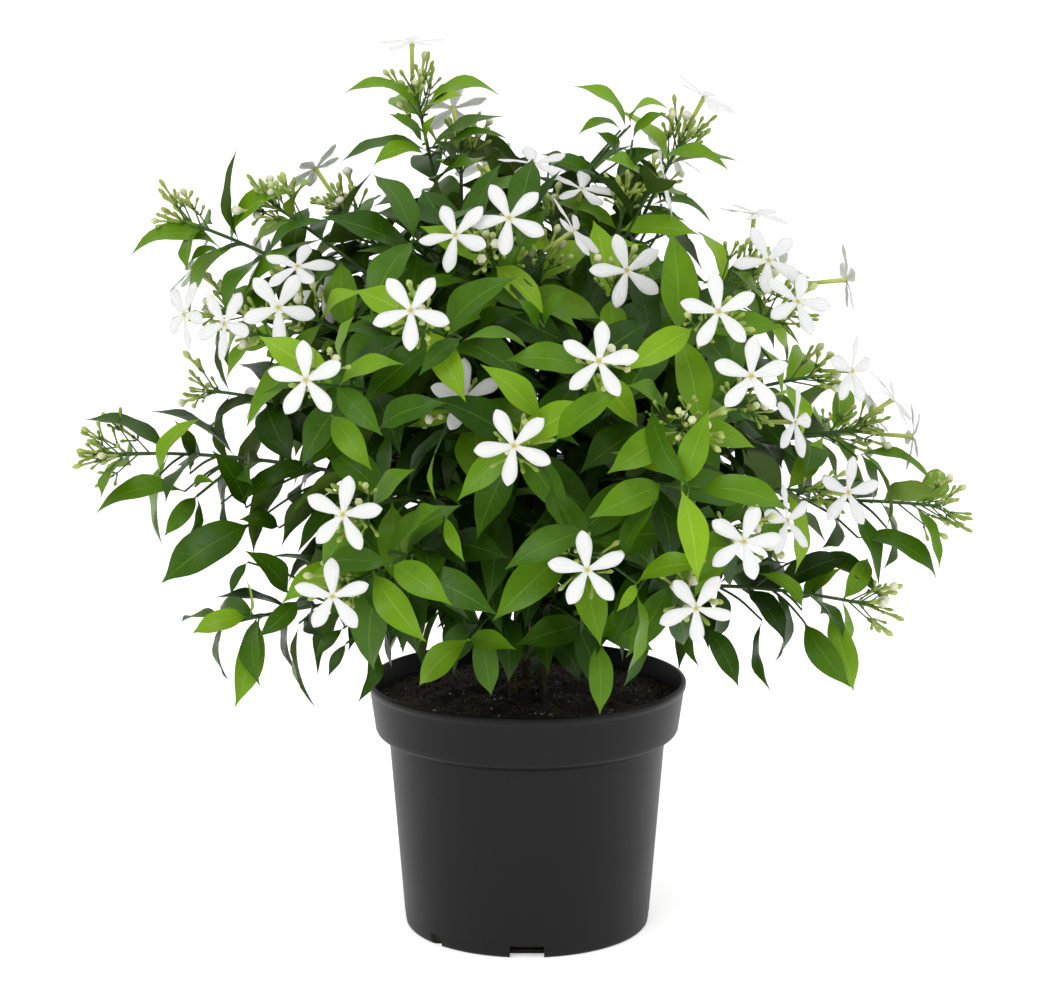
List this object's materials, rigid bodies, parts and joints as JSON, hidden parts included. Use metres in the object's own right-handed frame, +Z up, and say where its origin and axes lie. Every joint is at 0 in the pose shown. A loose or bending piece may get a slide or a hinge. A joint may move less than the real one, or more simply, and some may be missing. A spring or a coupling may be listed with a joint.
{
  "type": "potted flowering shrub",
  "caption": "Round black nursery pot of soil with a bushy leafy shrub, forked sprays of buds and white five-petalled flowers.",
  "frame": {"origin": "middle of the pot's underside, on the surface that it stands on", "axes": "+Z up along the pot's axis, -Y towards the plant's front, the side that the picture shows"},
  "size_m": [0.5492, 0.476, 0.5558],
  "materials": {
    "plastic": "satin",
    "soil": "matte",
    "bark": "matte",
    "leaf": "satin",
    "petal": "matte"
  },
  "bodies": {
    "root": {"pot": "plastic", "soil": "soil", "stem_1": "bark", "stem_2": "bark", "stem_3": "bark", "shoot_1": "leaf", "shoot_2": "leaf", "shoot_3": "leaf", "shoot_4": "leaf", "shoot_5": "leaf", "shoot_6": "leaf", "bloom_01": "petal", "bloom_02": "petal", "bloom_03": "petal", "bloom_04": "petal", "bloom_05": "petal", "bloom_06": "petal", "bloom_07": "petal", "bloom_08": "petal", "bloom_09": "petal", "bloom_10": "petal", "bloom_11": "petal", "bloom_12": "petal", "bloom_13": "petal", "bloom_14": "petal", "bloom_15": "petal", "bloom_16": "petal", "bloom_17": "petal", "bloom_18": "petal", "bloom_19": "petal", "bloom_20": "petal", "bloom_21": "petal", "bloom_22": "petal", "bloom_23": "petal", "bloom_24": "petal", "bloom_25": "petal", "bloom_26": "petal", "bloom_27": "petal", "bloom_28": "petal", "bloom_29": "petal", "bloom_30": "petal", "bloom_31": "petal", "bloom_32": "petal", "bloom_33": "petal", "bloom_34": "petal", "bloom_35": "petal", "bloom_36": "petal", "bloom_37": "petal", "bloom_38": "petal", "bloom_39": "petal", "bloom_40": "petal", "bloom_41": "petal", "bloom_42": "petal", "bloom_43": "petal", "bloom_44": "petal", "bloom_45": "petal", "bloom_46": "petal", "bloom_47": "petal", "bloom_48": "petal", "bloom_49": "petal"}
  },
  "joints": []
}
